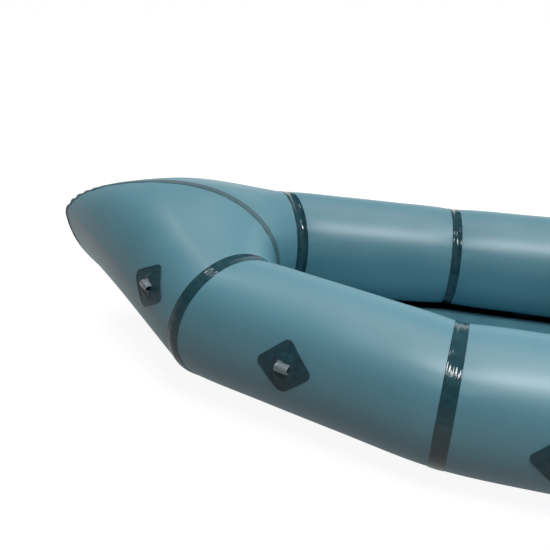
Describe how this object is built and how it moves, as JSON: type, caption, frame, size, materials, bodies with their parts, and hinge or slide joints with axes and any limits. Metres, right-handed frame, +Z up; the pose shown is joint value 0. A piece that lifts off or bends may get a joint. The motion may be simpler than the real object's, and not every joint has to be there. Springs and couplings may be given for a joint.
{
  "type": "packraft",
  "caption": "Open single-seat packraft: welded air tube with an upturned pointed bow, fabric floor, tie-down loops, inflatable seat with folding backrest, and air valve.",
  "frame": {"origin": "on the flat underside of the floor sheet, under the middle of the boat's length and width", "axes": "+X towards the bow, +Y to port, +Z up"},
  "size_m": [2.1484, 0.981, 0.4125],
  "materials": {
    "hull_fabric": "matt, smooth TPU-coated nylon, slate teal",
    "floor_fabric": "matt coated nylon, a shade darker than the tubes",
    "seam_tape": "glossy dark teal coated seam tape",
    "floor_tape": "satin black coated tape",
    "patch_fabric": "dark teal coated patch with raised webbing outline",
    "webbing": "glossy coated webbing",
    "cushion_fabric": "matt dark grey coated nylon",
    "valve_plastic": "matt black moulded plastic",
    "spring_steel": "bright stainless wire"
  },
  "bodies": {
    "hull": {"bow_panel_port": "hull_fabric", "bow_panel_starboard": "hull_fabric", "front_panel_port": "hull_fabric", "front_panel_starboard": "hull_fabric", "rear_panel_port": "hull_fabric", "rear_panel_starboard": "hull_fabric", "stern_panel_port": "hull_fabric", "stern_panel_starboard": "hull_fabric", "bow_seam_tape_port": "seam_tape", "bow_seam_tape_starboard": "seam_tape", "mid_seam_tape_port": "seam_tape", "mid_seam_tape_starboard": "seam_tape", "stern_seam_tape_port": "seam_tape", "stern_seam_tape_starboard": "seam_tape", "bow_centre_tape": "seam_tape", "stern_centre_tape": "seam_tape", "floor_sheet": "floor_fabric", "floor_tape_port": "floor_tape", "floor_tape_starboard": "floor_tape", "bow_patch_port": "patch_fabric", "bow_patch_starboard": "patch_fabric", "front_patch_port": "patch_fabric", "front_patch_starboard": "patch_fabric", "rear_patch_port": "patch_fabric", "rear_patch_starboard": "patch_fabric", "stern_patch_port": "patch_fabric", "stern_patch_starboard": "patch_fabric", "valve_patch": "patch_fabric", "bow_loop_port": "webbing", "bow_loop_starboard": "webbing", "front_loop_port": "webbing", "front_loop_starboard": "webbing", "rear_loop_port": "webbing", "rear_loop_starboard": "webbing", "stern_loop_port": "webbing", "stern_loop_starboard": "webbing", "seat_base": "cushion_fabric", "seat_hinge_leaf": "cushion_fabric", "seat_valve_stem": "valve_plastic", "valve_base": "valve_plastic", "valve_guide": "valve_plastic", "valve_tether": "valve_plastic", "valve_spring": "spring_steel"},
    "backrest": {"seat_back": "cushion_fabric", "back_hinge_leaf": "cushion_fabric", "back_valve_stem": "valve_plastic"},
    "back_mouthpiece": {"back_mouthpiece": "valve_plastic"},
    "seat_mouthpiece": {"seat_mouthpiece": "valve_plastic"},
    "valve_cap": {"valve_cap": "valve_plastic"},
    "valve_poppet": {"valve_poppet": "valve_plastic"}
  },
  "joints": [
    {"name": "backrest_fold", "type": "hinge", "parent": "hull", "child": "backrest", "pos_m": [-0.6773, 0, 0.0627], "axis": [0, 1, 0], "range_deg": [0, 90]},
    {"name": "back_mouthpiece_turn", "type": "hinge", "parent": "backrest", "child": "back_mouthpiece", "pos_m": [-0.72671, 0.09875, 0.25876], "axis": [-0.9961, 0.0302, 0.0834], "range_deg": [0, 90]},
    {"name": "seat_mouthpiece_turn", "type": "hinge", "parent": "hull", "child": "seat_mouthpiece", "pos_m": [-0.41351, 0.10185, 0.05796], "axis": [0.1687, 0.0355, 0.985], "range_deg": [0, 90]},
    {"name": "valve_cap_turn", "type": "hinge", "parent": "hull", "child": "valve_cap", "pos_m": [-0.39993, -0.3359, 0.28858], "axis": [0, 0, 1], "range_deg": [0, 90]},
    {"name": "valve_poppet_push", "type": "slide", "parent": "hull", "child": "valve_poppet", "axis": [0, 0, -1], "range_m": [0, 0.006], "stiffness_N_per_m": 150, "springref_m": -0.004, "deforming": ["valve_spring"]}
  ]
}
